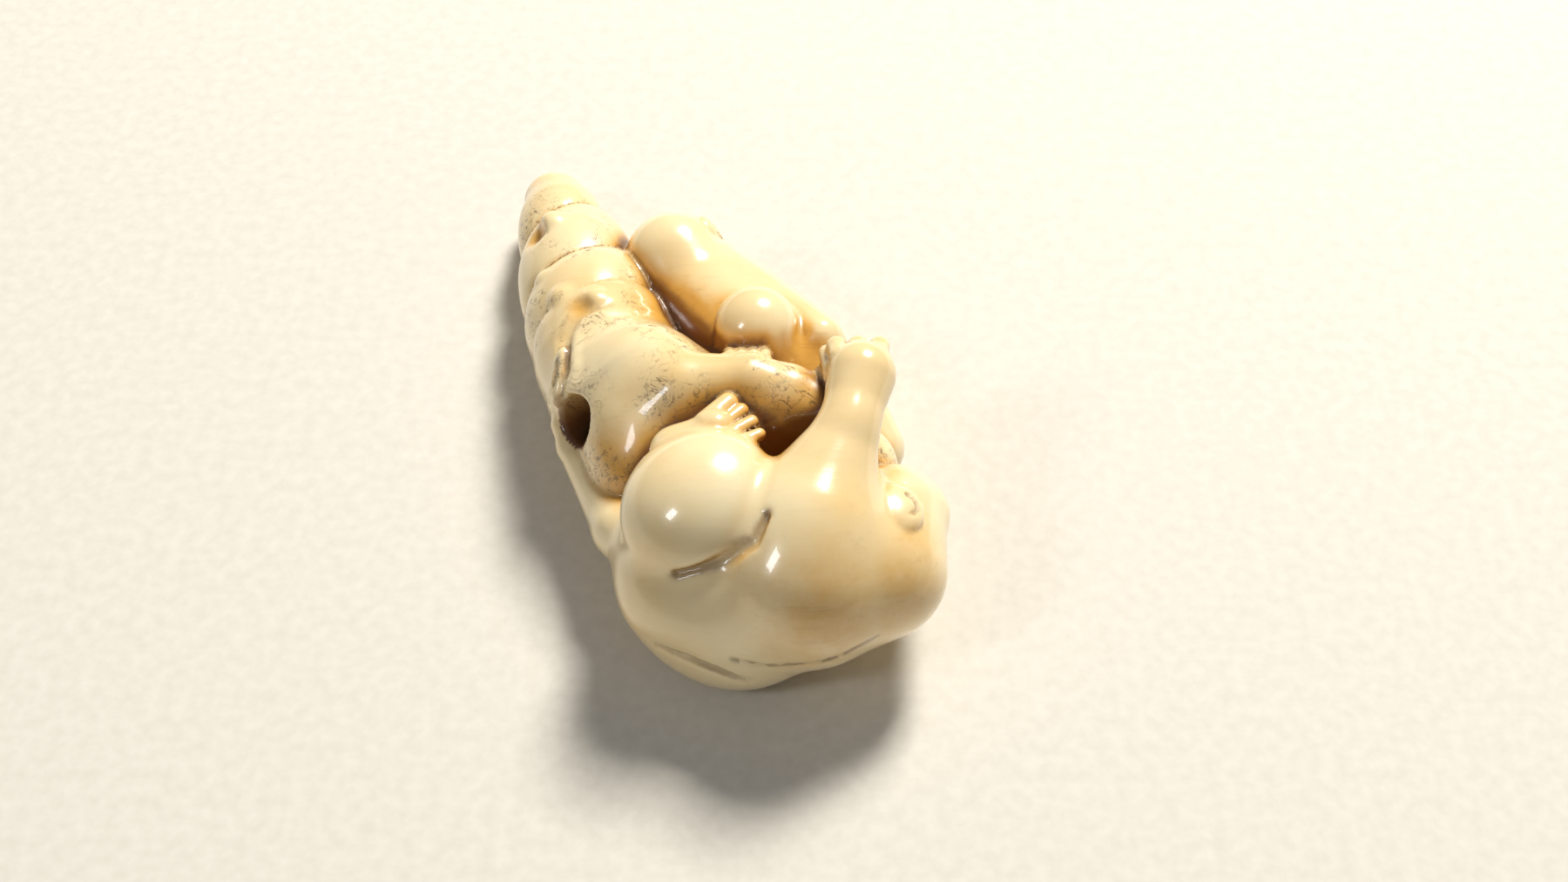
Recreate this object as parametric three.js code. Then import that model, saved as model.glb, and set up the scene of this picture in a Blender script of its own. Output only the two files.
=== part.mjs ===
// A netsuke: an ivory toggle of two bald boys wound round a knobbed spiral shell, carved in one
// piece and lying on its side. Millimetres, +Z up, the shell's tip towards +Y, z = 0 the table.
// The carving is one distance field, built from rounded limbs, balls and eggs that melt into each
// other. The field is turned into facets on a grid, then thinned where it is smooth.
import * as THREE from 'three';

// ---- driving sizes ----
const GRID = 0.95; // step of the grid that the carving is first cut on
const FACETS = 9400; // triangles kept after thinning
const EVEN = 0.5; // how much the thinning evens out the facets, against following the bends
const HEAD = 4.9; // radius of a boy's head in the foreground
const SMALL_HEAD = 4.25; // radius of the head of the boy behind
const HOLE = 2.05; // radius of the cord holes
const BOX = { min: [-21, -29, -1.6], max: [20.5, 29, 21.5] }; // space the carving lies in

const at = (x, y, z) => new THREE.Vector3(x, y, z);
const MIDDLE = at(-0.11, 0.34, 0); // the middle of the form, which is moved to x = y = 0

// ---- the forms: each returns a function from a point to its distance, negative inside ----

function ball(centre, radius) {
  return (p) => p.distanceTo(centre) - radius;
}

// A rounded cone between two balls: a limb, a finger, a rolled edge.
function limb(start, end, startRadius, endRadius) {
  const axis = end.clone().sub(start);
  const length2 = axis.lengthSq();
  const taper = startRadius - endRadius;
  const slope2 = length2 - taper * taper;
  const rel = at(0, 0, 0);
  const off = at(0, 0, 0);
  return (p) => {
    rel.copy(p).sub(start);
    const along = rel.dot(axis);
    const beyond = along - length2;
    off.copy(rel).multiplyScalar(length2).addScaledVector(axis, -along);
    const across2 = off.lengthSq();
    const along2 = along * along * length2;
    const beyond2 = beyond * beyond * length2;
    const lean = Math.sign(taper) * taper * taper * across2;
    if (Math.sign(beyond) * slope2 * beyond2 > lean) {
      return Math.sqrt(across2 + beyond2) / length2 - endRadius;
    }
    if (Math.sign(along) * slope2 * along2 < lean) {
      return Math.sqrt(across2 + along2) / length2 - startRadius;
    }
    return (Math.sqrt((across2 * slope2) / length2) + along * taper) / length2 - startRadius;
  };
}

// Limbs end to end.
function chain(points, radii, soft) {
  const links = points.slice(1).map((end, i) => limb(points[i], end, radii[i], radii[i + 1]));
  return join(soft, ...links);
}

// Unit axes: the first along `long`, the second as near `side` as it can be, the third square on.
function axesFrom(long, side) {
  const a = long.clone().normalize();
  const b = side.clone().addScaledVector(a, -side.dot(a)).normalize();
  return [a, b, a.clone().cross(b)];
}

// An egg: a ball pulled to three half-lengths along its own axes.
function egg(centre, radii, long = at(1, 0, 0), side = at(0, 1, 0)) {
  const axes = axesFrom(long, side);
  const rel = at(0, 0, 0);
  return (p) => {
    rel.copy(p).sub(centre);
    let near = 0;
    let steep = 0;
    for (let i = 0; i < 3; i += 1) {
      const share = rel.dot(axes[i]) / radii[i];
      near += share * share;
      steep += (share * share) / (radii[i] * radii[i]);
    }
    near = Math.sqrt(near);
    return (near * (near - 1)) / Math.max(Math.sqrt(steep), 1e-6);
  };
}

// Melts shapes into one, over a width of `soft` where they meet.
function join(soft, ...shapes) {
  return (p) => {
    let near = shapes[0](p);
    for (let i = 1; i < shapes.length; i += 1) {
      const next = shapes[i](p);
      const overlap = Math.max(soft - Math.abs(near - next), 0);
      near = Math.min(near, next) - (soft > 0 ? (overlap * overlap) / (4 * soft) : 0);
    }
    return near;
  };
}

// Cuts a tool out of a body, with an edge rounded over `soft`.
function cut(soft, body, tool) {
  const rest = join(soft, (p) => -body(p), tool);
  return (p) => -rest(p);
}

// Reads a value off a line through (stops, values).
function profile(stops, values, s) {
  let i = 1;
  while (i < stops.length - 1 && s > stops[i]) {
    i += 1;
  }
  const share = THREE.MathUtils.clamp((s - stops[i - 1]) / (stops[i] - stops[i - 1]), 0, 1);
  return values[i - 1] + share * (values[i] - values[i - 1]);
}

// ---- the shell ----

const SPIRE = {
  tip: at(-16.1, 26.9, 3.7),
  base: at(-6.9, -4.6, 8.0),
  // distance from the tip, and the radius there
  along: [-1.5, 0, 0.6, 1.5, 3, 5, 8.5, 12.5, 16.5, 20.5, 25, 29, 32, 36, 60],
  radius: [-1.2, 0.9, 2.1, 2.65, 3, 3.6, 4.35, 5.05, 5.6, 5.9, 6.1, 5.8, 4.4, -2, -26],
  // where the suture crosses the top, turn by turn
  suture: [-6, -0.8, 6.2, 13.2, 18.2, 22.4, 27, 33, 40, 90],
  turn: [-1, 0, 1, 2, 3, 4, 5, 6, 7, 8],
  // how far each turn swells between its sutures
  swellAlong: [0, 1.5, 4.5, 9, 16, 20, 24],
  swell: [0, 0.1, 0.8, 1.1, 1.1, 0.8, 0],
};

// A tapering spire with a suture wound round it as a helix.
function spire({ tip, base, along, radius, suture, turn, swellAlong, swell }) {
  const [axis, up, side] = axesFrom(base.clone().sub(tip), at(0, 0, 1));
  const right = side.x < 0 ? side.clone().negate() : side;
  const rel = at(0, 0, 0);
  return (p) => {
    rel.copy(p).sub(tip);
    const s = rel.dot(axis);
    const x = rel.dot(right);
    const y = rel.dot(up);
    const angle = Math.atan2(y, x) - Math.PI / 2;
    const turns = profile(suture, turn, s) + angle / (2 * Math.PI);
    const belly = Math.max(Math.sin(Math.PI * (turns - Math.floor(turns))), 0) ** 0.6 - 0.7;
    const here = profile(along, radius, s) + profile(swellAlong, swell, s) * belly;
    return (Math.hypot(x, y) - here) * 0.85;
  };
}

function shell() {
  const bodyWhorl = join(
    2,
    limb(at(-3.6, -4.4, 8), at(4.8, -8.4, 9.2), 6.4, 4.3),
    limb(at(4.8, -8.4, 9.2), at(10.3, -9, 8), 4.3, 4),
    limb(at(-5.4, -3.4, 7.8), at(-5.4, -7.6, 7.6), 6.1, 4.7),
  );
  const lip = chain(
    [at(-5.6, -1.6, 11.7), at(-2.4, -4.8, 13.3), at(2.7, -4.8, 14), at(5.7, -5.6, 13.6), at(8.4, -6.5, 12.6)],
    [3.0, 2.4, 2.1, 2.1, 2.4],
    0.5,
  );
  const mouth = egg(at(5.8, -14, 12), [7, 4.6, 5.2], at(1, -0.15, 0));
  const cone = join(2.2, join(3, spire(SPIRE), bodyWhorl), lip);
  const hollowed = cut(2.6, cone, mouth);
  const knobbed = join(0.35, hollowed, ball(at(-15.3, 17, 7.4), 1.35));
  const dimpled = cut(0.8, knobbed, ball(at(-16.5, 16.4, 7.1), 0.7));
  return join(0.7, dimpled, ball(at(-10, 6, 11.3), 1.3), ball(at(-14.5, 9.6, 9.7), 0.8));
}

// ---- heads ----

// Places on a head: a to its left, b towards the crown, d out of the face, in head radii.
function headFrame(centre, radius, front, crown) {
  const [out, up] = axesFrom(front, crown);
  const side = up.clone().cross(out);
  const place = (a, b, d) =>
    centre
      .clone()
      .addScaledVector(side, a * radius)
      .addScaledVector(up, b * radius)
      .addScaledVector(out, d * radius);
  return { place, side, up, out };
}

// A calm child's face: cheeks, chin, eye hollows with closed lids, a small nose and lips.
function face(head, centre, radius, front, crown) {
  const { place, side, up } = headFrame(centre, radius, front, crown);
  let form = head;
  for (const hand of [-1, 1]) {
    form = join(0.25 * radius, form, ball(place(0.4 * hand, -0.3, 0.62), 0.4 * radius));
  }
  form = join(0.2 * radius, form, ball(place(0, -0.66, 0.6), 0.25 * radius));
  for (const hand of [-1, 1]) {
    const socket = egg(place(0.34 * hand, 0.06, 1.04), [0.21 * radius, 0.13 * radius, 0.13 * radius], side, up);
    form = cut(0.12 * radius, form, socket);
  }
  const nose = limb(place(0, 0.16, 0.88), place(0, -0.13, 1.0), 0.06 * radius, 0.13 * radius);
  const lips = egg(place(0, -0.4, 0.86), [0.22 * radius, 0.12 * radius, 0.12 * radius], side, up);
  return join(0.08 * radius, join(0.1 * radius, form, nose), lips);
}

// An ear: a flat oval with a bowl cut into it and a lobe below.
function ear(head, centre, out, crown, size, hand) {
  const { place, side, up } = headFrame(centre, size, out, crown);
  const oval = egg(place(0, 0, 0.1), [1.7 * size, 2.4 * size, 0.85 * size], side, up);
  const bowl = egg(place(0.3 * hand, 0.2, 1.0), [0.9 * size, 1.3 * size, 0.7 * size], side, up);
  const lobe = ball(place(-0.4 * hand, -1.7, 0.5), 0.6 * size);
  return join(0.25, cut(0.25, join(0.25, head, oval), bowl), lobe);
}

// ---- the boy in front, on his right side, his back to the viewer ----

const ANKLE = at(-11.5, -5.4, 6.4); // of his right foot, against the shell's flank
const WRIST = at(10.2, -10.8, 16.0); // of his left hand, on the shell's lip

function frontBoy() {
  const waist = at(2.6, -19.2, 5.8);
  const trunk = join(
    2.5,
    limb(waist, at(7.0, -19.1, 9.0), 6.0, 7.4),
    limb(at(-1.6, -18.6, 6.9), waist, 5.8, 5.9),
  );
  const arm = join(
    1.2,
    limb(at(7.9, -17.1, 12.6), WRIST, 4.5, 1.8),
    limb(WRIST, at(11.2, -6.4, 16.6), 1.8, 2.65),
  );
  let boy = join(2.2, trunk, arm);
  boy = fingers(boy);
  const skull = limb(at(12.5, -18.9, 8.6), at(13.7, -14.1, 9.0), 5.1, 4.0);
  const head = face(skull, at(13.1, -16.6, 8.5), HEAD, at(0.78, 0.38, -0.5), at(0.45, -0.88, -0.1));
  boy = join(1.8, boy, head);
  boy = ear(boy, at(13.4, -15.9, 13.0), at(0.1, 0.2, 0.97), at(0.56, -0.65, -0.3), 1.0, 1);
  const bentLeg = egg(at(-1, -15.5, 12.4), [5.9, 5.3, 5.1], at(-0.72, -0.55, -0.25), at(0.6, -0.7, 0));
  boy = join(0.4, boy, bentLeg);
  boy = join(0.5, boy, leftFoot());
  boy = join(0.5, boy, egg(at(0.5, -21.6, 3.5), [5.2, 3.4, 3.9], at(1, -0.25, 0)));
  boy = join(1.8, boy, limb(at(-1.9, -17.7, 7), at(-6.6, -13.6, 6.4), 4.6, 2.5));
  boy = join(1.2, boy, limb(at(-7.4, -13, 6.2), ANKLE, 2.2, 1.3));
  const rightFoot = chain(
    [ANKLE, at(-12.2, -3.8, 7.3), at(-12.4, -1.2, 8.4), at(-12, 1.8, 9.4)],
    [1.3, 1.1, 1, 0.7],
    0.3,
  );
  boy = join(0.5, boy, rightFoot);
  const rightArm = chain([at(9.3, -15.8, 5.5), at(13.3, -11.8, 1.9), at(9.8, -6.3, 1.6)], [2.6, 2.1, 1.8], 0.6);
  boy = join(0.6, boy, rightArm);
  return join(1.5, boy, limb(at(-3.7, -12.3, 4.2), at(8.3, -12.3, 4.6), 3.4, 3.6));
}

// His left hand grips the lip: three fingers over its far side, and the thumb.
function fingers(boy) {
  let form = boy;
  const places = [
    [9.5, -0.5, 0.75],
    [11, 0, 0.8],
    [12.5, 0.4, 0.75],
  ];
  for (const [x, spread, thick] of places) {
    const bend = [at(x, -5.4, 17.6), at(x + 0.3 * spread, -3.9, 17), at(x + spread, -3.4, 14.6)];
    form = join(0.25, form, chain(bend, [thick, thick, 0.9 * thick], 0.2));
  }
  return join(0.3, form, limb(at(9.2, -6.2, 16.2), at(8.7, -3.4, 15.6), 0.9, 0.7));
}

// The sole stands on the shell, with the toes fanned towards the lip.
function leftFoot() {
  const heel = at(-2.7, -11.1, 13.0);
  let foot = join(
    1.0,
    limb(heel, at(0.2, -10.0, 14.6), 1.9, 1.5),
    limb(heel, at(-2.0, -12.2, 10.0), 1.9, 2.2),
  );
  const toes = [
    [at(-0.5, -9.8, 15.0), at(1.1, -7.8, 14.9), 0.85],
    [at(0.3, -10.5, 15.0), at(2.1, -8.5, 14.9), 0.6],
    [at(0.9, -11.2, 15.0), at(2.9, -9.6, 14.9), 0.56],
    [at(1.5, -12.0, 15.0), at(3.5, -10.8, 14.9), 0.52],
  ];
  for (const [root, end, thick] of toes) {
    foot = join(0.2, foot, limb(root, end, thick + 0.2, thick));
  }
  return foot;
}

// ---- the boy behind, on the shell's right side, head towards the tip ----

function rearBoy() {
  const headCentre = at(-4.0, 13.5, 8.0);
  const head = face(ball(headCentre, SMALL_HEAD), headCentre, SMALL_HEAD, at(-0.2, 0.87, -0.42), at(-0.48, 0.3, 0.85));
  let boy = join(1.4, head, limb(at(-2.1, 10.7, 6.6), at(4.6, 2.4, 7.2), 4.6, 5.0));
  boy = join(1.0, boy, limb(at(0.3, 13.0, 7.4), at(8.3, 2.4, 11.0), 2.4, 1.7));
  boy = ear(boy, at(-0.9, 15.3, 9.5), at(0.82, 0.45, 0.35), at(-0.48, 0.21, 0.85), 0.8, -1);
  boy = join(0.45, boy, limb(at(3.1, 2.6, 11.6), at(3.4, 0.8, 8.0), 3.45, 4.0));
  boy = join(2.0, boy, limb(at(8.2, 0.7, 6.5), at(12.4, -4.6, 5.2), 4.4, 2.7));
  boy = join(0.8, boy, limb(at(8.3, -2.8, 3.9), at(8.5, 5.2, 2.6), 4, 2.8));
  const shin = chain([at(8.5, 5.2, 2.4), at(12.3, -0.6, 1.8), at(13.3, -4.4, 1.4)], [2.6, 1.7, 1.5], 0.3);
  return join(0.5, boy, shin);
}

// ---- the whole carving ----

function carving() {
  // Ivory left standing between the figures, under the lip and under the hand and foot on it.
  const core = chain([at(-1.5, -11, 7.5), at(9.6, -10.4, 7), at(10.4, -7.6, 3.8)], [3, 3.3, 2.4], 0.5);
  const underToes = limb(at(0.2, -9.6, 13.2), at(2, -8.6, 12.6), 1.9, 1.6);
  const underPalm = limb(at(11.2, -5.6, 15), at(8.9, -4.6, 14.2), 1.9, 1.3);
  const figures = join(0.5, shell(), frontBoy(), rearBoy(), core, underToes, underPalm);
  // Two cord holes, one in the shell's left flank and one below, meet inside.
  const channel = chain(
    [at(-13.9, -6.2, 11.2), at(-7.7, -4.2, 8), at(-6.6, -3.6, 5), at(-6.2, -3.6, -3)],
    [HOLE + 0.1, HOLE - 0.15, HOLE - 0.15, HOLE],
    0,
  );
  const drilled = cut(0.4, figures, channel);
  return (p) => Math.max(drilled(p), -p.z); // rubbed flat where it rests
}

// ---- from field to facets ----

// Marches through the tetrahedra of a grid, so that the surface closes without a gap.
function march(field, { min, max }, step) {
  const count = min.map((low, i) => Math.ceil((max[i] - low) / step) + 1);
  const key = (i, j, k) => (i * count[1] + j) * count[2] + k;
  const value = new Float64Array(count[0] * count[1] * count[2]);
  const corner = (i, j, k) => at(min[0] + i * step, min[1] + j * step, min[2] + k * step);
  for (let i = 0; i < count[0]; i += 1) {
    for (let j = 0; j < count[1]; j += 1) {
      for (let k = 0; k < count[2]; k += 1) {
        value[key(i, j, k)] = field(corner(i, j, k)) || 1e-9;
      }
    }
  }
  const points = [];
  const faces = [];
  const made = new Map();
  const cross = (a, b) => {
    const name = a.id < b.id ? `${a.id},${b.id}` : `${b.id},${a.id}`;
    if (!made.has(name)) {
      const share = THREE.MathUtils.clamp(a.value / (a.value - b.value), 0.02, 0.98);
      made.set(name, points.push(a.place.clone().lerp(b.place, share)) - 1);
    }
    return made.get(name);
  };
  const facet = (a, b, c, inner) => {
    const [p, q, r] = [points[a], points[b], points[c]];
    const normal = q.clone().sub(p).cross(r.clone().sub(p));
    const outward = normal.dot(p.clone().sub(inner)) > 0;
    faces.push(outward ? [a, b, c] : [a, c, b]);
  };
  // six tetrahedra round the cube's long diagonal
  const paths = [[0, 1, 2], [0, 2, 1], [1, 0, 2], [1, 2, 0], [2, 0, 1], [2, 1, 0]];
  for (let i = 0; i < count[0] - 1; i += 1) {
    for (let j = 0; j < count[1] - 1; j += 1) {
      for (let k = 0; k < count[2] - 1; k += 1) {
        for (const path of paths) {
          const cell = [i, j, k];
          const tetra = [0, 1, 2, 3].map((n) => {
            if (n > 0) {
              cell[path[n - 1]] += 1;
            }
            return { id: key(...cell), cell: [...cell] };
          });
          const low = tetra.filter((c) => value[c.id] < 0);
          if (low.length === 0 || low.length === 4) {
            continue;
          }
          for (const c of tetra) {
            c.value = value[c.id];
            c.place = corner(...c.cell);
          }
          const high = tetra.filter((c) => c.value >= 0);
          const inner = low[0].place;
          if (low.length === 1) {
            facet(cross(low[0], high[0]), cross(low[0], high[1]), cross(low[0], high[2]), inner);
          } else if (low.length === 3) {
            const ring = low.map((c) => cross(c, high[0]));
            const mean = low[0].place.clone().add(low[1].place).add(low[2].place).divideScalar(3);
            facet(ring[0], ring[1], ring[2], mean);
          } else {
            const ring = [
              cross(low[0], high[0]),
              cross(low[0], high[1]),
              cross(low[1], high[1]),
              cross(low[1], high[0]),
            ];
            const mean = low[0].place.clone().add(low[1].place).divideScalar(2);
            facet(ring[0], ring[1], ring[2], mean);
            facet(ring[0], ring[2], ring[3], mean);
          }
        }
      }
    }
  }
  return { points, faces };
}

function slope(field, p) {
  const e = 0.05;
  const rise = (x, y, z) => field(at(p.x + x, p.y + y, p.z + z)) - field(at(p.x - x, p.y - y, p.z - z));
  return at(rise(e, 0, 0), rise(0, e, 0), rise(0, 0, e)).normalize();
}

// Slides a point onto the surface, and back onto the flat where it belongs to it.
function settle(field, p, reach) {
  for (let round = 0; round < 3; round += 1) {
    const miss = THREE.MathUtils.clamp(field(p), -reach, reach);
    p.addScaledVector(slope(field, p), -miss);
  }
  if (p.z < 0.02) {
    p.z = 0;
  }
  return p;
}

// Keeps the largest connected body, so that no crumb or bubble is left.
function largestBody({ points, faces }) {
  const parent = points.map((_, i) => i);
  const root = (i) => {
    let at = i;
    while (parent[at] !== at) {
      parent[at] = parent[parent[at]];
      at = parent[at];
    }
    return at;
  };
  for (const [a, b, c] of faces) {
    parent[root(a)] = root(b);
    parent[root(b)] = root(c);
  }
  const tally = new Map();
  for (const [a] of faces) {
    tally.set(root(a), (tally.get(root(a)) || 0) + 1);
  }
  const best = [...tally.entries()].sort((a, b) => b[1] - a[1])[0][0];
  return { points, faces: faces.filter(([a]) => root(a) === best) };
}

// Collapses short and flat edges until `target` facets are left. An edge goes only where the
// surface stays closed and no facet turns over.
function thin(field, { points, faces }, target) {
  const normals = points.map((p) => slope(field, p));
  const around = points.map(() => new Set());
  const live = faces.map((f) => [...f]);
  live.forEach((f, i) => f.forEach((v) => around[v].add(i)));
  let left = live.length;
  const ring = (v) => {
    const near = new Set();
    for (const f of around[v]) {
      live[f].forEach((w) => near.add(w));
    }
    near.delete(v);
    return near;
  };
  const normalOf = ([a, b, c], moved, place) => {
    const [p, q, r] = [a, b, c].map((v) => (moved.includes(v) ? place : points[v]));
    return q.clone().sub(p).cross(r.clone().sub(p));
  };
  const flips = (kept, gone, place) => {
    for (const v of [kept, gone]) {
      for (const i of around[v]) {
        const f = live[i];
        if (f.includes(kept) && f.includes(gone)) {
          continue;
        }
        const before = normalOf(f, [], place).normalize();
        const after = normalOf(f, [kept, gone], place);
        if (after.length() < 0.012 || after.normalize().dot(before) < 0.5) {
          return true;
        }
      }
    }
    return false;
  };
  for (let pass = 0; pass < 40 && left > target; pass += 1) {
    const edges = [];
    live.forEach((f) => {
      if (!f) {
        return;
      }
      for (let n = 0; n < 3; n += 1) {
        const [a, b] = [f[n], f[(n + 1) % 3]];
        if (a < b) {
          const bend = 1 - normals[a].dot(normals[b]);
          edges.push({ a, b, cost: points[a].distanceToSquared(points[b]) * (EVEN + bend) });
        }
      }
    });
    edges.sort((x, y) => x.cost - y.cost);
    const touched = new Set();
    const quota = Math.max(left * 0.12, 100);
    let done = 0;
    for (const { a, b } of edges) {
      if (done >= quota || left <= target) {
        break;
      }
      if (touched.has(a) || touched.has(b)) {
        continue;
      }
      const nearA = ring(a);
      const nearB = ring(b);
      const shared = [...nearA].filter((v) => nearB.has(v));
      if (shared.length !== 2) {
        continue;
      }
      const place = settle(field, points[a].clone().lerp(points[b], 0.5), 0.3);
      if (points[a].z === 0 && points[b].z === 0) {
        place.z = 0;
      }
      if (flips(a, b, place)) {
        continue;
      }
      points[a] = place;
      normals[a] = slope(field, place);
      for (const i of [...around[b]]) {
        const f = live[i];
        if (f.includes(a)) {
          f.forEach((v) => around[v].delete(i));
          live[i] = null;
          left -= 1;
        } else {
          f[f.indexOf(b)] = a;
          around[a].add(i);
        }
      }
      around[b].clear();
      [a, b, ...nearA, ...nearB].forEach((v) => touched.add(v));
      done += 1;
    }
    relax(field, points, live, ring);
    if (done === 0) {
      break;
    }
  }
  return { points, faces: live.filter(Boolean) };
}

// Draws each point towards the middle of its neighbours, along the surface.
function relax(field, points, live, ring) {
  const used = new Set(live.filter(Boolean).flat());
  for (const v of used) {
    const near = [...ring(v)];
    const mean = at(0, 0, 0);
    near.forEach((w) => mean.add(points[w]));
    mean.divideScalar(near.length).sub(points[v]);
    const normal = slope(field, points[v]);
    mean.addScaledVector(normal, -mean.dot(normal));
    points[v] = settle(field, points[v].clone().addScaledVector(mean, 0.4), 0.2);
  }
}

function toGeometry({ points, faces }) {
  const number = new Map();
  const places = [];
  const index = [];
  for (const f of faces) {
    for (const v of f) {
      if (!number.has(v)) {
        number.set(v, number.size);
        places.push(points[v].x, points[v].y, points[v].z);
      }
      index.push(number.get(v));
    }
  }
  const geometry = new THREE.BufferGeometry();
  geometry.setAttribute('position', new THREE.Float32BufferAttribute(places, 3));
  geometry.setIndex(index);
  geometry.computeVertexNormals();
  return geometry;
}

function netsukeMesh() {
  const field = carving();
  const rough = largestBody(march(field, BOX, GRID));
  rough.points.forEach((p) => settle(field, p, 0.25));
  const ivory = new THREE.MeshStandardMaterial({ color: 0xefe0bd, roughness: 0.3, metalness: 0 });
  const geometry = toGeometry(thin(field, rough, FACETS));
  geometry.translate(-MIDDLE.x, -MIDDLE.y, 0);
  const mesh = new THREE.Mesh(geometry, ivory);
  mesh.name = 'netsuke_carving';
  return mesh;
}

const netsuke = new THREE.Group();
netsuke.add(netsukeMesh());

export default netsuke;
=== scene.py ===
import bpy
import numpy as np
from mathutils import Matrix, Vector


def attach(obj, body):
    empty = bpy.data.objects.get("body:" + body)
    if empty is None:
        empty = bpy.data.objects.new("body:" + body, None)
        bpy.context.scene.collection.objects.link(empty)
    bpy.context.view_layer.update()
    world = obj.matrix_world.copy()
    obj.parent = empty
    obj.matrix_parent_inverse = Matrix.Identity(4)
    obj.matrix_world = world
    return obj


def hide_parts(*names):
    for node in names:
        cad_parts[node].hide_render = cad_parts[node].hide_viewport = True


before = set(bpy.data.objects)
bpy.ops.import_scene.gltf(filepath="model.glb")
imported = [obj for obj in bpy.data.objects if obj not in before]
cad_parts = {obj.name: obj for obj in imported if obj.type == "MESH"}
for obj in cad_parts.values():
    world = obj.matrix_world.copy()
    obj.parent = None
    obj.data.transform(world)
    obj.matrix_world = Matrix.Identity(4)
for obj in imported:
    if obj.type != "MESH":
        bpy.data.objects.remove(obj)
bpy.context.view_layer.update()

# ---- The shell ----
# A knobbed spiral shell of tapering turns, lying on its side with its tip away from the boys. It is
# cut from the same piece of ivory as they are, turn by turn, with a rolled lip round its mouth.
# Sizes are in millimetres until the mesh is made. A form is a function from points to distances.

real = np.float32


def at(x, y, z):
    return np.array((x, y, z), dtype=real)


def unit(vector):
    vector = np.asarray(vector, float)
    return vector / np.linalg.norm(vector)


def ball(centre, radius):
    return lambda points: np.linalg.norm(points - centre, axis=1) - real(radius)


def limb(start, end, start_radius, end_radius):
    """A rounded cone between two balls: a limb, a finger, a rolled edge.

    Names that end in 2 are squares.
    """
    axis = np.asarray(end, float) - np.asarray(start, float)
    length2 = real(axis @ axis)
    taper = real(start_radius - end_radius)
    slope2 = length2 - taper * taper
    axis = axis.astype(real)

    def distance(points):
        rel = points - start
        along = rel @ axis
        beyond = along - length2
        off = rel * length2 - along[:, None] * axis
        across2 = (off * off).sum(1)
        along2 = along * along * length2
        beyond2 = beyond * beyond * length2
        lean = np.sign(taper) * taper * taper * across2
        side = (np.sqrt(across2 * slope2 / length2) + along * taper) / length2
        far = np.sqrt(across2 + beyond2) / length2 - real(end_radius)
        near = np.sqrt(across2 + along2) / length2 - real(start_radius)
        past_end = np.sign(beyond) * slope2 * beyond2 > lean
        past_start = np.sign(along) * slope2 * along2 < lean
        return np.where(past_end, far, np.where(past_start, near, side - real(start_radius)))

    return distance


def join(soft, *forms):
    """Melts forms into one, over a width of soft where they meet."""

    def distance(points):
        near = forms[0](points)
        for form in forms[1:]:
            other = form(points)
            overlap = np.maximum(real(soft) - np.abs(near - other), 0)
            near = np.minimum(near, other)
            if soft > 0:
                near = near - overlap * overlap / real(4 * soft)
        return near

    return distance


def cut(soft, body, tool):
    """Cuts a tool out of a body, with edges rounded over a width of soft."""
    rest = join(soft, lambda points: -body(points), tool)
    return lambda points: -rest(points)


def chain(stops, radii, soft=0.0):
    """Limbs end to end. One radius serves them all if only one is given."""
    if np.isscalar(radii):
        radii = [radii] * len(stops)
    links = [limb(*pair) for pair in zip(stops, stops[1:], radii, radii[1:])]
    return join(soft, *links)


def axes_from(long, side):
    first = unit(long)
    second = unit(np.asarray(side, float) - (np.asarray(side, float) @ first) * first)
    return np.array([first, second, np.cross(first, second)], dtype=real)


def egg(centre, radii, long=(1, 0, 0), side=(0, 1, 0)):
    """A ball pulled to three half-lengths along its own axes."""
    axes = axes_from(long, side)
    radii = np.array(radii, dtype=real)

    def distance(points):
        share = ((points - centre) @ axes.T) / radii
        near = np.linalg.norm(share, axis=1)
        steep = np.linalg.norm(share / radii, axis=1)
        return near * (near - 1) / np.maximum(steep, real(1e-6))

    return distance


SPIRE_TIP = at(-16.1, 26.9, 3.7)
SPIRE_BASE = at(-6.9, -4.6, 8.0)
# distance from the tip, and the radius there
SPIRE_ALONG = [-1.5, 0, 0.6, 1.5, 3, 5, 8.5, 12.5, 16.5, 20.5, 25, 29, 32, 36, 60]
SPIRE_RADIUS = [-1.2, 0.9, 2.1, 2.65, 3, 3.6, 4.35, 5.05, 5.6, 5.9, 6.1, 5.8, 4.4, -2, -26]
# where the seam between the turns crosses the top, from the tip, and which turn it starts
SEAM_ALONG = [-6, 0.5, 8.2, 16.2, 21.6, 26, 31, 36, 42, 90]
SEAM_TURN = [-1, 0, 1, 2, 3, 4, 5, 6, 7, 8]
# how far each turn swells between its seams, how full its arch is and where its middle lies
SWELL_ALONG = [0, 1.5, 4.5, 9, 16, 20, 24]
SWELL = [0, 0.1, 0.7, 0.85, 0.8, 0.6, 0]
ARCH_FULLNESS = 0.6
ARCH_MIDDLE = 0.7
SPIRE_CAUTION = 0.85  # keeps the values below true distances where the walls slope


def spire_turns(points):
    """Distance down the spire's axis, distance out from it, and how many turns from the tip."""
    axis, up, side = axes_from(SPIRE_BASE - SPIRE_TIP, (0, 0, 1))
    right = -side if side[0] < 0 else side
    rel = points - SPIRE_TIP
    down, x, y = rel @ axis, rel @ right, rel @ up
    angle = np.arctan2(y, x) - np.pi / 2
    return down, np.hypot(x, y), np.interp(down, SEAM_ALONG, SEAM_TURN) - angle / (2 * np.pi)


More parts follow.
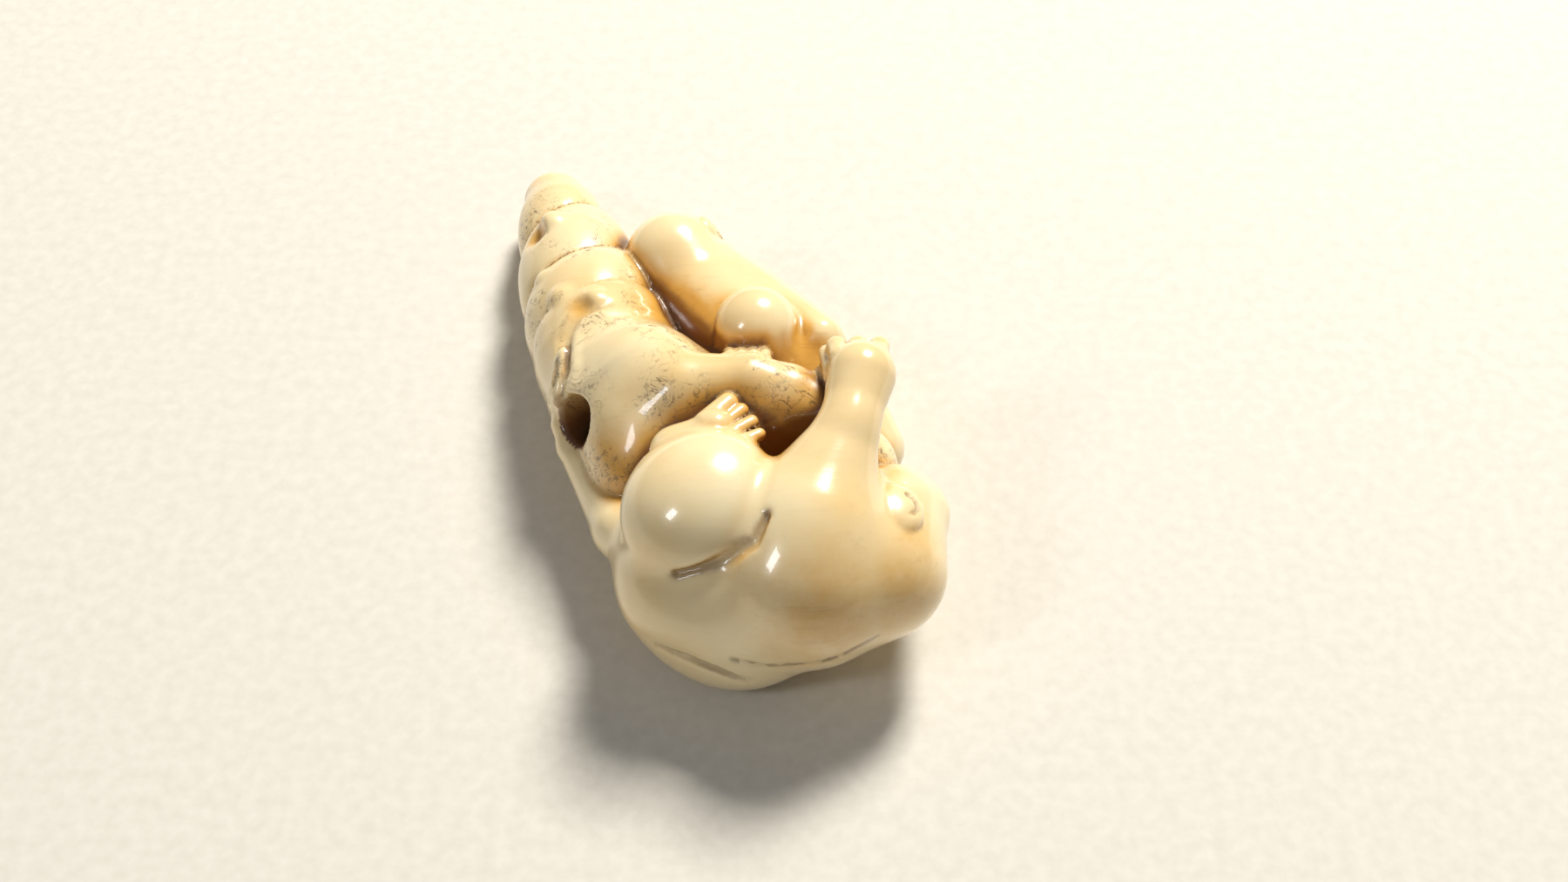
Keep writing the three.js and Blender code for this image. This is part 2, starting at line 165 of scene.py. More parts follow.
def spire(points):
    down, out, turns = spire_turns(points)
    arch = np.maximum(np.sin(np.pi * (turns - np.floor(turns))), 0) ** ARCH_FULLNESS
    swell = np.interp(down, SWELL_ALONG, SWELL) * (arch - ARCH_MIDDLE)
    radius = np.interp(down, SPIRE_ALONG, SPIRE_RADIUS) + swell
    return ((out - radius) * SPIRE_CAUTION).astype(real)


def body_whorl():
    return join(
        2,
        limb(at(-3.6, -4.4, 8.0), at(4.8, -8.4, 9.2), 6.4, 4.3),
        limb(at(4.8, -8.4, 9.2), at(10.3, -9.0, 8), 4.3, 4.0),
        limb(at(-5.4, -3.4, 7.8), at(-5.4, -7.6, 7.6), 6.1, 4.7),
    )


def rolled_lip():
    lip_line = [
        at(-5.6, -1.6, 11.7),
        at(-2.4, -4.8, 13.3),
        at(2.7, -4.8, 14),
        at(5.7, -5.6, 13.6),
        at(8.4, -6.5, 12.6),
    ]
    return chain(lip_line, [3.0, 2.4, 2.1, 2.1, 2.4], 0.5)


def with_whorl_edge(form):
    """The raised edge of the body whorl, which runs up the flank and over the top."""
    edge_line = [
        at(-11.2, -3.7, 11.2),
        at(-11.1, -1.9, 11.9),
        at(-11.2, 1.2, 12.1),
        at(-10.6, 2.4, 12.3),
        at(-9.1, 3.0, 12.6),
        at(-7.2, 3.2, 12.4),
    ]
    form = join(0.8, form, chain(edge_line, [0.4, 0.5, 0.5, 0.5, 0.5, 0.3]))
    beyond_edge = [
        at(-12.1, -1.9, 11.9),
        at(-12.3, 1.4, 12.2),
        at(-11.4, 3.4, 12.9),
        at(-9.2, 4.2, 13.4),
    ]
    return cut(1.0, form, chain(beyond_edge, [0.3, 0.5, 0.45, 0.3]))


def with_knobs(form):
    """Knobs on the turns. Two of them have a hollow worn beside them."""
    form = join(0.5, form, ball(at(-14.35, 16.25, 9.2), 1.5))
    form = cut(1.2, form, ball(at(-16.1, 15.5, 9.4), 0.8))
    form = join(0.8, form, ball(at(-9.85, 4.9, 12.1), 1.05), ball(at(-12.8, 6.3, 11.1), 0.9))
    form = cut(0.9, form, ball(at(-11.2, 4.2, 13.2), 0.7))
    return join(0.7, form, ball(at(-14.5, 9.6, 9.7), 0.8))


def with_pod(form):
    """A leaf-shaped pod with a hollow face, and a hooked ridge under the cord hole."""
    along_pod = (-0.1, -0.85, -0.5)
    pod = egg(at(-12.35, -1.7, 10.75), [2.5, 0.85, 0.8], along_pod, (-0.75, -0.2, 0.63))
    pod_face = egg(at(-12.95, -1.6, 11.3), [1.4, 0.36, 0.45], along_pod)
    form = cut(0.3, join(0.3, form, pod), pod_face)
    ridge = [at(-11.9, -4.3, 9.2), at(-11.7, -5.2, 8.2), at(-11.0, -6.2, 7.6)]
    return join(0.3, form, chain(ridge, [0.3, 0.4, 0.3]))


def shell():
    mouth = egg(at(5.8, -14, 12), [7, 4.6, 5.2], (1, -0.15, 0))
    turns = join(2.2, join(3, spire, body_whorl()), rolled_lip())
    return with_pod(with_knobs(with_whorl_edge(cut(2.6, turns, mouth))))


# ---- The boy in front ----
# A bald, naked boy curled round the shell's mouth on his right side. His left foot stands on the
# shell and his left hand grips its lip. His limbs are rounded and polished, with cut creases.


def head_frame(centre, radius, front, crown):
    """Places on a head: a to its left, b towards the crown, d out of the face, in head radii."""
    out, up, _ = axes_from(front, crown)
    side = np.cross(up, out)

    def place(a, b, d):
        return (centre + radius * (a * side + b * up + d * out)).astype(real)

    return place, side, up


def scaled(size, *shares):
    return [size * share for share in shares]


def face(head, centre, size, front, crown):
    """A calm child's face: cheeks, chin, closed lids, a small nose and lips."""
    place, side, up = head_frame(centre, size, front, crown)
    form = head
    for hand in (-1, 1):
        cheek = ball(place(0.4 * hand, -0.3, 0.62), 0.4 * size)
        form = join(0.25 * size, form, cheek)
    chin = ball(place(0, -0.66, 0.6), 0.25 * size)
    form = join(0.2 * size, form, chin)
    for hand in (-1, 1):
        socket = egg(place(0.34 * hand, 0.06, 1.04), scaled(size, 0.21, 0.13, 0.13), side, up)
        lid = egg(place(0.34 * hand, 0.03, 0.83), scaled(size, 0.16, 0.085, 0.12), side, up)
        lid_line = [
            place(0.19 * hand, 0.02, 0.97),
            place(0.34 * hand, -0.02, 0.965),
            place(0.5 * hand, 0.03, 0.88),
        ]
        form = join(0.03 * size, cut(0.12 * size, form, socket), lid)
        form = cut(0.03 * size, form, chain(lid_line, 0.02 * size))
    nose = limb(place(0, 0.16, 0.88), place(0, -0.13, 1.0), 0.06 * size, 0.13 * size)
    form = join(0.1 * size, form, nose)
    for hand in (-1, 1):
        nostril = ball(place(0.1 * hand, -0.16, 0.95), 0.07 * size)
        form = join(0.04 * size, form, nostril)
    lips = egg(place(0, -0.4, 0.86), scaled(size, 0.22, 0.12, 0.12), side, up)
    form = join(0.08 * size, form, lips)
    mouth_line = [place(-0.17, -0.38, 0.95), place(0, -0.4, 1.0), place(0.17, -0.38, 0.95)]
    return cut(0.04 * size, form, chain(mouth_line, scaled(size, 0.02, 0.03, 0.02)))


def ear(head, centre, out, crown, size, hand):
    """A rounded ear lying flat against the head, with a hooked groove cut into it."""
    place, side, up = head_frame(centre, size, out, crown)

    def spot(a, b, d):
        return place(a * hand, b, d)

    disc = egg(spot(0, 0, 0), scaled(size, 1.95, 2.3, 0.9), side, up)
    groove = [
        spot(0.7, 0.8, 0.8),
        spot(1.2, 0.3, 0.72),
        spot(1.3, -0.4, 0.65),
        spot(0.9, -0.9, 0.72),
        spot(0.45, -1.0, 0.8),
    ]
    groove_cutter = chain(groove, scaled(size, 0.25, 0.22, 0.22, 0.2, 0.12))
    return cut(0.15 * size, join(0.15 * size, head, disc), groove_cutter)


ANKLE = at(-11.5, -5.4, 6.4)
WRIST = at(10.2, -10.8, 16.0)


def left_foot():
    heel = at(-2.7, -11.1, 13.0)
    instep = limb(heel, at(0.2, -10.0, 14.6), 1.9, 1.5)
    foot = join(1.0, instep, limb(heel, at(-2.0, -12.2, 10.0), 1.9, 2.2))
    toes = [
        (at(-0.5, -9.8, 15.0), at(1.1, -7.8, 14.9), 0.85),
        (at(0.3, -10.5, 15.0), at(2.1, -8.5, 14.9), 0.6),
        (at(0.9, -11.2, 15.0), at(2.9, -9.6, 14.9), 0.56),
        (at(1.5, -12.0, 15.0), at(3.5, -10.8, 14.9), 0.52),
    ]
    for root, tip, thick in toes:
        foot = join(0.12, foot, limb(root, tip, thick + 0.12, thick))
    return foot


def left_hand(arm):
    """Three fingers hooked over the lip, and the thumb beside them."""
    for x, spread, thick in [(9.5, -0.5, 0.75), (11.0, 0, 0.8), (12.5, 0.4, 0.75)]:
        bend = [at(x, -5.4, 17.6), at(x + 0.3 * spread, -3.9, 17.0), at(x + spread, -3.4, 14.6)]
        arm = join(0.18, arm, chain(bend, [thick, thick, 0.9 * thick], 0.2))
    thumb = limb(at(9.2, -6.2, 16.2), at(8.7, -3.4, 15.6), 0.9, 0.7)
    return join(0.3, arm, thumb)


def right_foot():
    """A small foot laid along the shell's flank, sole outwards and hollow."""
    foot_line = [ANKLE, at(-12.2, -3.8, 7.3), at(-12.4, -1.2, 8.4), at(-12.0, 1.8, 9.4)]
    foot = chain(foot_line, [1.3, 1.1, 1.0, 0.7], 0.3)
    hollow = limb(at(-13.4, -2.6, 8.9), at(-13.2, -0.4, 9.6), 0.45, 0.4)
    return cut(0.3, foot, hollow)


def front_boy():
    waist = at(2.6, -19.2, 5.8)
    chest = limb(waist, at(7.0, -19.1, 9.0), 6.0, 7.4)
    hips = limb(at(-1.6, -18.6, 6.9), waist, 5.8, 5.9)
    left_arm = limb(at(7.4, -16.9, 12.3), WRIST, 5.1, 2.05)
    palm = limb(WRIST, at(11.2, -6.4, 16.6), 2.05, 2.65)
    boy = left_hand(join(2.2, join(2.5, chest, hips), join(1.2, left_arm, palm)))
    skull = limb(at(12.5, -18.9, 8.6), at(13.7, -14.1, 9.0), 5.1, 4.0)
    head = face(skull, at(13.1, -16.6, 8.5), 4.9, (0.78, 0.38, -0.5), (0.45, -0.88, -0.1))
    boy = join(1.8, boy, head)
    boy = ear(boy, at(13.75, -16.5, 13.3), (0.25, 0.05, 0.97), (-0.2, 1, 0), 1.0, 1)
    bent_leg = egg(at(-0.75, -15.75, 12.3), [6.3, 5.95, 5.2], (-0.72, -0.55, -0.25), (0.6, -0.7, 0))
    boy = join(1.0, boy, bent_leg)
    fold = [at(4.2, -19.2, 16.0), at(3.3, -20.8, 15.2), at(1.0, -21.3, 13.7), at(-2.4, -21.4, 12.2)]
    boy = cut(1.0, boy, chain(fold, [0.02, 0.06, 0.08, 0.02]))
    boy = join(0.5, boy, left_foot())
    boy = join(2.2, boy, egg(at(0.5, -21.5, 3.4), [5.2, 3.3, 3.8], (1, -0.25, 0)))
    buttock_fold = [at(-3.9, -23.9, 6.0), at(-1.7, -24.8, 5.9), at(0.4, -25.4, 5.4), at(2.4, -25.9, 4.4)]
    boy = cut(0.9, boy, chain(buttock_fold, [0.02, 0.1, 0.1, 0.02]))
    boy = join(1.8, boy, limb(at(-1.9, -17.7, 7.0), at(-6.6, -13.6, 6.4), 4.6, 2.5))
    boy = join(1.2, boy, limb(at(-7.4, -13.0, 6.2), ANKLE, 2.2, 1.3))
    boy = join(0.5, boy, right_foot())
    right_arm = chain([at(9.3, -15.8, 5.5), at(13.3, -11.8, 1.9), at(9.8, -6.3, 1.6)], [2.6, 2.1, 1.8], 0.6)
    boy = join(0.6, boy, right_arm)
    return join(1.5, boy, limb(at(-3.7, -12.3, 4.2), at(8.3, -12.3, 4.6), 3.4, 3.6))


# The spine is a cut line down his back, stained dark, with darker dots along it.
SPINE = [
    at(1.6, -25.8, 7.1),
    at(4.1, -26.2, 6.9),
    at(7.2, -26.5, 7.7),
    at(9.5, -26.1, 8.2),
    at(12.2, -24.9, 8.8),
]
SPINE_CUT = 0.1


# ---- The boy behind ----
# A second, smaller boy lies along the shell's other flank with his head towards its tip. One knee
# is drawn up, an arm reaches to the lip, and his fingers hold it from behind.


def rear_boy():
    centre = at(-4.0, 13.5, 8.0)
    head = face(ball(centre, 4.25), centre, 4.25, (-0.2, 0.87, -0.42), (-0.48, 0.3, 0.85))
    boy = join(1.4, head, limb(at(-2.1, 10.7, 6.6), at(4.6, 2.4, 7.2), 4.6, 5.0))
    boy = join(1.0, boy, limb(at(0.3, 13.0, 7.4), at(8.3, 2.4, 11.0), 2.4, 1.7))
    boy = ear(boy, at(-0.9, 15.3, 9.5), (0.82, 0.45, 0.35), (-0.48, 0.21, 0.85), 0.8, -1)
    boy = join(0.45, boy, limb(at(3.1, 2.6, 11.6), at(3.4, 0.8, 8.0), 3.45, 4.0))
    boy = join(2.0, boy, limb(at(8.2, 0.7, 6.5), at(12.4, -4.6, 5.2), 4.4, 2.7))
    boy = join(0.8, boy, limb(at(8.3, -2.8, 3.9), at(8.5, 5.2, 2.6), 4.0, 2.8))
    shin = chain([at(8.5, 5.2, 2.4), at(12.3, -0.6, 1.8), at(13.3, -4.4, 1.4)], [2.6, 1.7, 1.5], 0.3)
    boy = join(0.5, boy, shin)
    for x in (1.0, 1.9, 2.8, 3.7):
        bend = [at(x, -0.6, 12.2), at(x + 0.1, -2.0, 13.9), at(x + 0.2, -3.0, 14.95)]
        boy = join(0.12, boy, chain(bend, [0.6, 0.55, 0.45]))
    return boy


# ---- The carving as one body ----
# One piece of ivory: the figures melt into the shell where they touch it. A cord channel is drilled
# through the shell from its left flank to the underside, and the underside is rubbed flat.

boys = join(0.5, front_boy(), rear_boy())
the_shell = shell()

# the middle line of the cord channel, from the hole in the flank down through the underside
CHANNEL = [at(-13.5, -6.2, 11.2), at(-7.4, -4.2, 8.0), at(-6.6, -3.6, 5.0), at(-6.2, -3.6, -3.0)]
CHANNEL_RADII = [2.1, 1.9, 1.9, 2.05]


def carving():
    core = chain([at(-1.5, -11.0, 7.5), at(9.6, -10.4, 7.0), at(10.4, -7.6, 3.8)], [3.0, 3.3, 2.4], 0.5)
    under_toes = limb(at(0.2, -9.6, 13.2), at(2.0, -8.6, 12.6), 1.9, 1.6)
    under_palm = limb(at(11.2, -5.6, 15.0), at(8.9, -4.6, 14.2), 1.9, 1.3)
    figures = join(0.35, the_shell, boys, core, under_toes, under_palm)
    drilled = cut(0.4, figures, chain(CHANNEL, CHANNEL_RADII))
    lined = cut(0.3, drilled, chain(SPINE, SPINE_CUT))
    return lambda points: np.maximum(lined(points), -points[:, 2])


carved = carving()
MIDDLE = at(-0.11, 0.34, 0)  # the middle of the form, which goes to x = y = 0


def field_on_grid(field, low, high, step, block=4, batch=300000):
    """Samples a field on a grid, finely only in the blocks that its surface passes through."""
    count = np.ceil((high - low) / step).astype(int) + 1
    starts = [np.arange(0, n, block) for n in count]
    corners = np.stack(np.meshgrid(*starts, indexing="ij"), -1)
    middles = low + step * (corners + block / 2)
    rough = field(middles.reshape(-1, 3).astype(real)).reshape(corners.shape[:3])
    far_off = 5  # stands for every distance in a block that is away from the surface
    values = far_off * np.sign(rough)
    for axis in range(3):
        values = np.repeat(values, block, axis)
    values = values[: count[0], : count[1], : count[2]].astype(real)
    reach = 1.2 * block * step + 1.0  # from a block's middle past its corners, with room to spare
    near = corners[np.abs(rough) < reach]
    inner = np.stack(np.meshgrid(*[np.arange(block)] * 3, indexing="ij"), -1).reshape(-1, 3)
    index = (near[:, None] + inner[None]).reshape(-1, 3)
    index = index[(index < count).all(1)]
    for part in np.array_split(index, max(1, len(index) // batch)):
        values[tuple(part.T)] = field((low + step * part).astype(real))
    return values


def surface_quads(values, low, step):
    """One vertex in each cell that the surface crosses, and one quad across each crossed edge."""
    cells = np.array(values.shape) - 1
    crossings = np.zeros(tuple(cells), np.int8)
    total = np.zeros(tuple(cells) + (3,), real)

    def shifted(offset):
        return values[tuple(slice(offset[k], offset[k] + cells[k]) for k in range(3))]

    for axis in range(3):
        first, second = [k for k in range(3) if k != axis]
        for i, j in ((0, 0), (0, 1), (1, 0), (1, 1)):
            near = [0, 0, 0]
            near[first], near[second] = i, j
            far = list(near)
            far[axis] = 1
            a, b = shifted(near), shifted(far)
            crossed = (a < 0) != (b < 0)
            crossings += crossed
            total[..., first] += np.where(crossed, i, 0)
            total[..., second] += np.where(crossed, j, 0)
            total[..., axis] += np.where(crossed, a / np.where(crossed, a - b, 1), 0)
    used = crossings > 0
    number = np.full(tuple(cells), -1)
    number[used] = np.arange(used.sum())
    points = low + step * (np.argwhere(used) + total[used] / crossings[used][:, None])
    inside = values < 0
    quads = []
    for axis in range(3):
        first, second = (axis + 1) % 3, (axis + 2) % 3
        here = [slice(1, n) for n in cells]
        here[axis] = slice(0, cells[axis])
        there = list(here)
        there[axis] = slice(1, cells[axis] + 1)
        a, b = inside[tuple(here)], inside[tuple(there)]
        for leaving, order in ((a & ~b, (0, 1, 2, 3)), (~a & b, (3, 2, 1, 0))):
            corner = np.argwhere(leaving) + [int(k != axis) for k in range(3)]
            ring = []
            for u, v in ((-1, -1), (0, -1), (0, 0), (-1, 0)):
                cell = corner.copy()
                cell[:, first] += u
                cell[:, second] += v
                ring.append(number[tuple(cell.T)])
            quads.append(np.stack([ring[k] for k in order], 1))
    return points, np.concatenate(quads)


def slope(field, points, reach=0.05):
    """Which way and how fast the field rises at each point."""
    sides = []
    for axis in np.eye(3, dtype=real) * real(reach):
        sides.append(field(points + axis) - field(points - axis))
    return np.stack(sides, 1) / real(2 * reach)


step = 0.262
low, high = np.array([-22.0, -30.0, -1.2]), np.array([22.0, 30.0, 23.0])
points, quads = surface_quads(field_on_grid(carved, low, high, step), low, step)
points = points.astype(real)
LEAST_STEEPNESS = 0.2  # keeps the pull small where the field is nearly flat
# two pulls bring the points onto the true surface
for _ in range(2):
    normals = slope(carved, points)
    steep = np.maximum((normals * normals).sum(1), LEAST_STEEPNESS)
    pull = np.clip(carved(points) / steep, -0.5 * step, 0.5 * step)
    points = points - pull[:, None] * normals

MM_PER_METRE = 1000
mesh = bpy.data.meshes.new("carving")
mesh.vertices.add(len(points))
mesh.vertices.foreach_set("co", ((points - MIDDLE) / MM_PER_METRE).ravel())
mesh.loops.add(4 * len(quads))
mesh.loops.foreach_set("vertex_index", quads.ravel().astype(np.int32))
mesh.polygons.add(len(quads))
mesh.polygons.foreach_set("loop_start", np.arange(0, 4 * len(quads), 4, dtype=np.int32))
mesh.polygons.foreach_set("use_smooth", np.ones(len(quads), bool))
mesh.update(calc_edges=True)
mesh.validate()
piece = bpy.data.objects.new("carving", mesh)
bpy.context.scene.collection.objects.link(piece)
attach(piece, "root")
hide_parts("netsuke_carving")


def store(name, values):
    layer = mesh.attributes.new(name, "FLOAT", "POINT")
    layer.data.foreach_set("value", np.clip(values, 0, 1).astype(real))


outward = slope(carved, points)
outward /= np.maximum(np.linalg.norm(outward, axis=1), 1e-6)[:, None]


def closeness(reach):
    """How much of the way out to a reach is closed off: 0 in the open, 1 in a deep hollow."""
    return 1 - carved(points + real(reach) * outward) / reach


def spotted(spots):
    """Each spot's strength at its middle, gone at its radius. The strongest spot counts."""
    shares = []
    for x, y, z, radius, strength in spots:
        away = np.linalg.norm(points - np.array([x, y, z]), axis=1)
        shares.append(strength * (1 - away / radius))
    return np.max(shares, axis=0)


# Spots of honey-brown colour in the mouth, on the flanks, the lower back and the shell's tip: the
# place, the radius and the strength of each. Some are the ivory's own patina, as on the lower back;
# those in the mouth and in the recesses where the figures meet the shell are painted shade.
STAIN_AND_SHADE_SPOTS = [
    (-3.5, 5.0, 9.5, 6.0, 1.6),
    (2.5, -7.5, 12.5, 6.5, 1.2),
    (6.0, -11.5, 11.0, 6.0, 2.2),
    (-7.5, -9.5, 10.5, 4.5, 1.1),
    (8.0, -24.0, 11.5, 8.0, 0.9),
    (13.5, -21.5, 10.5, 6.5, 0.9),
    (-15.5, 15.6, 8.6, 2.0, 0.8),
    (-11.2, 4.2, 12.6, 1.8, 0.8),
    (6.5, 0.5, 11.0, 3.0, 1.2),
    (-15.5, 24.0, 5.0, 4.5, 0.6),
]
# the cord hole is painted in shade, from none at the rim height to full at the dark height
HOLE_RIM = 11.0
HOLE_DARK = 6.5
UNDERSIDE = 0.5
CHANNEL_SKIN = 0.35
LINE_WIDTH = 0.3

into_the_hole = chain(CHANNEL, CHANNEL_RADII)(points)
height = points[:, 2]
depth = 1 - (height - HOLE_DARK) / (HOLE_RIM - HOLE_DARK)
# crease: how closed in each point is at a small reach; it darkens the creases with dirt and painted shade
store("crease", 1.3 * closeness(0.45))
# hollow: how closed in each point is at larger reaches; it drives the honey patina and the painted shade of
# the hollows
store("hollow", 0.35 * closeness(1.6) + 0.65 * closeness(3.5))
# the spots: patina, and painted shade in the recesses where the figures meet the shell
store("stain", spotted(STAIN_AND_SHADE_SPOTS))
store("hole", np.where(into_the_hole < CHANNEL_SKIN, depth, 0) * (height > UNDERSIDE))
store("line", 1 - (chain(SPINE, 0.0)(points) - SPINE_CUT) / LINE_WIDTH)
store("shell", 0.5 + (boys(points) - the_shell(points)) / 0.8)


# ---- The ivory ----
# Old ivory, warm cream and polished, with fine wavy growth lines that break the highlights up. The
# hollows are honey-brown, partly the ivory's own patina and partly painted shade. The deepest hollows
# are painted dark brown as shade, the creases are darker with dirt and painted shade, the cord hole
# is painted nearly black as shade, and the shell is duller.


class Sock:
    """A shader socket that adds Math nodes when it is used in an expression."""

    def __init__(self, tree, socket):
        self.tree, self.socket = tree, socket

    def node(self, kind, settings=None, out=0, **inputs):
        made = self.tree.nodes.new(kind)
        for name, value in (settings or {}).items():
            if name == "stops":
                while len(made.color_ramp.elements) < len(value):
                    made.color_ramp.elements.new(0.5)
                for element, (place, colour) in zip(made.color_ramp.elements, value):
                    element.position, element.color = place, colour
            else:
                setattr(made, name, value)
        for name, value in inputs.items():
            key = int(name[1:]) if name[0] == "i" and name[1:].isdigit() else name.replace("_", " ")
            if isinstance(value, Sock):
                self.tree.links.new(value.socket, made.inputs[key])
            else:
                made.inputs[key].default_value = value
        return Sock(self.tree, made.outputs[out])

    def math(self, operation, *others, clamp=False):
        values = {f"i{k}": v for k, v in enumerate(others)}
        return self.node("ShaderNodeMath", {"operation": operation, "use_clamp": clamp}, **values)

    def __add__(self, other):
        return self.math("ADD", self, other)

    def __sub__(self, other):
        return self.math("SUBTRACT", self, other)

    def __rsub__(self, other):
        return self.math("SUBTRACT", other, self)

    def __mul__(self, other):
        return self.math("MULTIPLY", self, other)

    __radd__, __rmul__ = __add__, __mul__

    def clamp(self):
        return self.math("ADD", self, 0.0, clamp=True)

    def steps(self, low, high):
        """0 below low, 1 above high, smooth between."""
        ends = {"i1": low, "i2": high, "i3": 0.0, "i4": 1.0}
        return self.node("ShaderNodeMapRange", {"interpolation_type": "SMOOTHSTEP"}, i0=self, **ends)

    def towards(self, colour, share):
        """This colour mixed towards another."""
        settings = {"data_type": "RGBA"}
        return self.node("ShaderNodeMix", settings, out=2, i0=share, i6=self, i7=colour)


def start_material(name):
    material = bpy.data.materials.new(name)
    material.use_nodes = True
    tree = material.node_tree
    shader = tree.nodes["Principled BSDF"]
    return material, Sock(tree, shader.outputs[0]), shader


CREAM = (0.84, 0.61, 0.28, 1)
PALE_CREAM = (0.94, 0.80, 0.50, 1)
# HONEY colours the hollows and spots: partly the ivory's own patina, partly painted shade
HONEY = (0.72, 0.36, 0.035, 1)
# BROWN is for the grain fibres, and for the painted shade in the deepest hollows and the cord hole
BROWN = (0.2, 0.06, 0.005, 1)
# DIRT_AND_SHADE is for dirt, grime and the spine line, and for the painted shade in the creases
DIRT_AND_SHADE = (0.13, 0.07, 0.028, 1)
# NEARLY_BLACK is painted shade deep in the cord hole
NEARLY_BLACK = (0.008, 0.003, 0.001, 1)

def ivory():
    material, sock, shader = start_material("old_ivory")
    place = sock.node("ShaderNodeTexCoord", out=3)

    def stored(name):
        return sock.node("ShaderNodeAttribute", {"attribute_name": name}, out=2)

    def noise(scale, detail=3.0, rough=0.5, where=place, distortion=0.0):
        looks = {"Scale": scale, "Detail": detail, "Roughness": rough, "Distortion": distortion}
        return sock.node("ShaderNodeTexNoise", Vector=where, **looks)

    crease = stored("crease")
    hollow = stored("hollow")
    on_shell = stored("shell")
    stain = stored("stain")
    hole = stored("hole")
    line = stored("line")
    cloud = noise(90.0)
    mottle = noise(320.0, 5.0, 0.65)
    drawn_out = sock.node("ShaderNodeMapping", Vector=place, Scale=(50.0, 1800.0, 1800.0))
    grain = noise(1.0, 4.0, 0.6, drawn_out, 0.3)
    speck = noise(1700.0, 3.0, 0.6)
    # thin dark cracks: the places where a wavy noise crosses its middle value
    wave = noise(420.0, 3.0, 0.6, place, 1.5) - 0.5
    hair = 1.0 - wave.math("ABSOLUTE", wave).steps(0.0, 0.02)
    # colour
    cream_stops = [(0.3, CREAM), (0.7, PALE_CREAM)]
    cream = sock.node("ShaderNodeValToRGB", {"stops": cream_stops}, Fac=cloud)
    # honey-brown in the hollows and spots: partly the ivory's own patina, partly painted shade
    honey = 1.1 * hollow + stain * (0.55 + 0.6 * mottle) + 0.5 * (cloud - 0.5) + 0.35 * (mottle - 0.5)
    colour = cream.towards(HONEY, honey.steps(0.08, 1.0) * 0.9)
    # painted shade: the deepest hollows and spots go dark brown
    deep = hollow + 0.35 * stain + 0.3 * (mottle - 0.5)
    colour = colour.towards(BROWN, deep.steps(0.62, 1.05) * 0.9)
    fibres = grain.steps(0.5, 0.8) * (0.05 + 0.2 * stain)
    colour = colour.towards(BROWN, fibres)
    # dirt specks, and painted shade in the creases
    dirt_and_crease_shade = (crease + 0.5 * (speck - 0.5)).steps(0.25, 0.8)
    colour = colour.towards(DIRT_AND_SHADE, dirt_and_crease_shade * (0.45 + 0.3 * on_shell))
    patch = noise(150.0, 4.0, 0.6).steps(0.45, 0.6)
    grime = on_shell * patch * (0.75 * hair + 0.55 * speck.steps(0.55, 0.66))
    colour = colour.towards(DIRT_AND_SHADE, grime.clamp())
    dots = noise(1100.0, 0.0).steps(0.42, 0.5)
    colour = colour.towards(DIRT_AND_SHADE, line * (0.25 + 0.75 * dots) * 0.85)
    # painted shade in the cord hole, brown near the rim and nearly black further in
    colour = colour.towards(BROWN, (hole * 1.6).clamp() * 0.95)
    colour = colour.towards(NEARLY_BLACK, hole.steps(0.45, 0.95))
    sock.tree.links.new(colour.socket, shader.inputs["Base Color"])
    # polish
    rough = 0.22 + 0.1 * on_shell + 0.3 * dirt_and_crease_shade + 0.14 * (cloud - 0.5) + 0.4 * hole
    sock.tree.links.new(rough.clamp().socket, shader.inputs["Roughness"])
    relief = 0.6 * grain + 0.4 * noise(700.0, 2.0) * (0.4 + 0.6 * on_shell) - 0.5 * grime
    bump = sock.node("ShaderNodeBump", Strength=0.25, Distance=0.00006, Height=relief)
    sock.tree.links.new(bump.socket, shader.inputs["Normal"])
    shader.inputs["Coat Weight"].default_value = 0.6
    shader.inputs["Coat Roughness"].default_value = 0.04
    shader.inputs["IOR"].default_value = 1.54
    shader.inputs["Subsurface Weight"].default_value = 0.12
    shader.inputs["Subsurface Radius"].default_value = (1.0, 0.6, 0.35)
    shader.inputs["Subsurface Scale"].default_value = 0.001
    return material


mesh.materials.append(ivory())

# ---- The table ----
# A sheet of warm off-white paper, wide enough to fill the view.


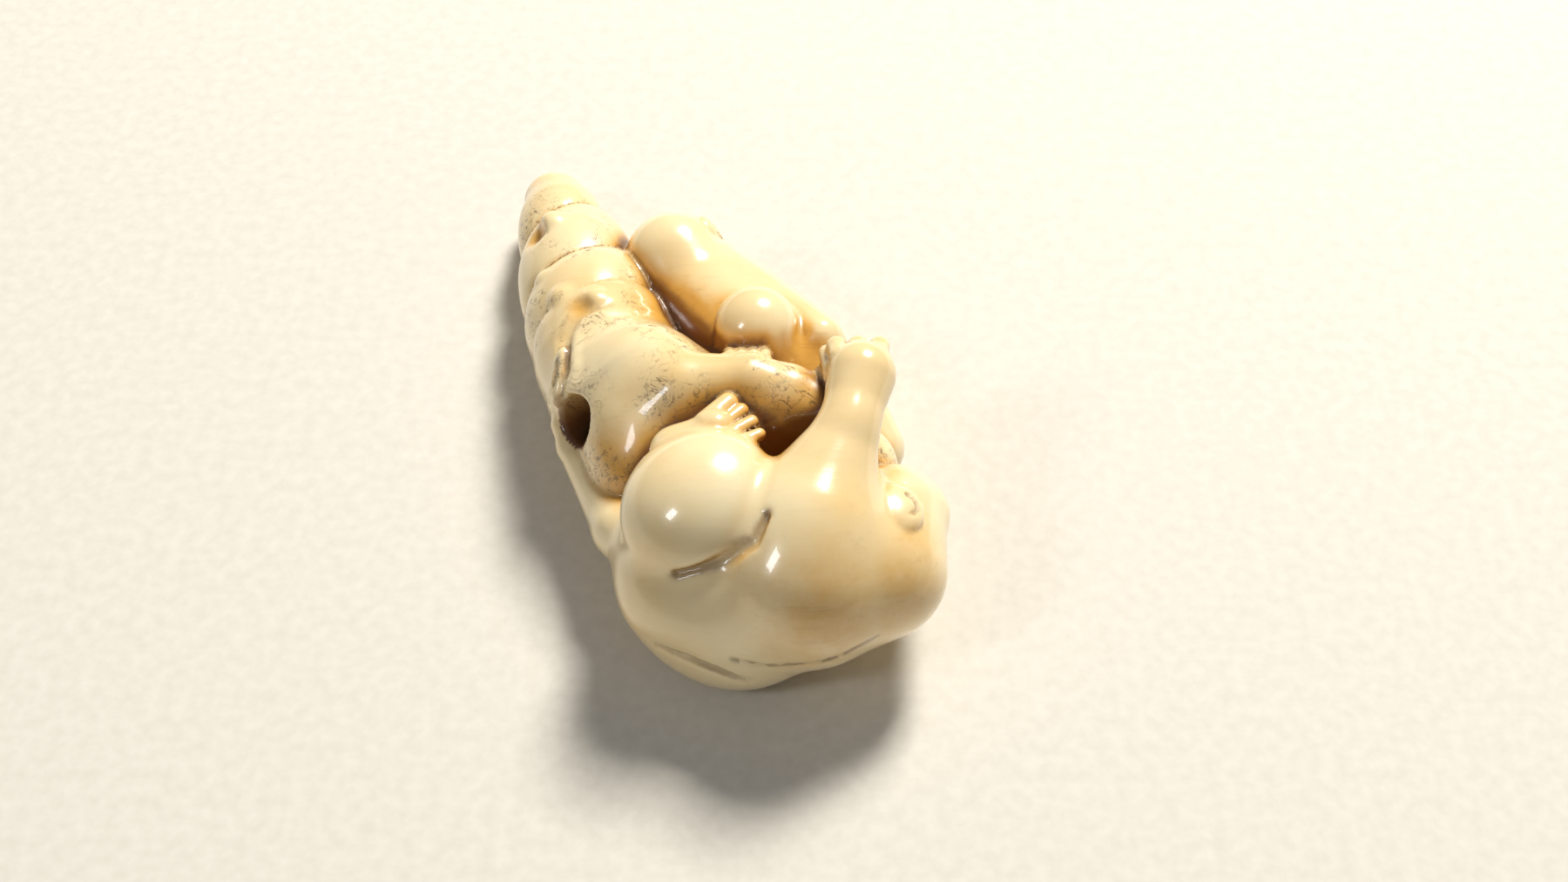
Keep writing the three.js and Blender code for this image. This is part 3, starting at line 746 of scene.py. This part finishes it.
def paper():
    material, sock, shader = start_material("paper")
    place = sock.node("ShaderNodeTexCoord", out=3)
    fibre = sock.node("ShaderNodeTexNoise", Vector=place, Scale=900.0, Detail=3.0)
    stops = [(0.3, (0.68, 0.645, 0.56, 1)), (0.7, (0.74, 0.705, 0.62, 1))]
    tone = sock.node("ShaderNodeValToRGB", {"stops": stops}, Fac=fibre)
    sock.tree.links.new(tone.socket, shader.inputs["Base Color"])
    shader.inputs["Roughness"].default_value = 0.9
    return material


bpy.ops.mesh.primitive_plane_add(size=3.0)
table = bpy.context.object
table.name = "table"
table.data.materials.append(paper())

# ---- Light and camera ----
# A large soft window light from above and behind, a smaller one from the front left, and a pale
# room. The camera looks down on the carving from in front.

LIT_SPOT = Vector((0.0, -0.005, 0.008))
def area_light(name, towards, distance, width, height, power, colour=(1, 1, 1)):
    light = bpy.data.lights.new(name, "AREA")
    light.shape, light.size, light.size_y = "RECTANGLE", width, height
    light.energy, light.color = power, colour
    holder = bpy.data.objects.new(name, light)
    direction = Vector(towards).normalized()
    holder.location = LIT_SPOT + distance * direction
    holder.rotation_euler = direction.to_track_quat("Z", "Y").to_euler()
    bpy.context.scene.collection.objects.link(holder)


area_light("window", (0.30, 0.62, 0.80), 0.7, 0.17, 0.21, 7.4, (1.0, 0.97, 0.92))
area_light("side_window", (-0.64, -0.38, 0.68), 0.8, 0.12, 0.18, 1.0, (0.92, 0.95, 1.0))

world = bpy.data.worlds.new("room")
world.use_nodes = True
world.node_tree.nodes["Background"].inputs["Color"].default_value = (0.95, 0.95, 1.0, 1)
world.node_tree.nodes["Background"].inputs["Strength"].default_value = 0.16
bpy.context.scene.world = world

bpy.context.scene.view_settings.view_transform = "Standard"

camera_data = bpy.data.cameras.new("camera")
camera_data.sensor_width = 36.0
camera_data.lens = 43.8
camera_data.clip_start = 0.01
camera = bpy.data.objects.new("camera", camera_data)
camera.location = (0.00546, -0.09949, 0.1272)
camera.rotation_euler = (np.radians(38.0), 0, 0)
bpy.context.scene.collection.objects.link(camera)
bpy.context.scene.camera = camera
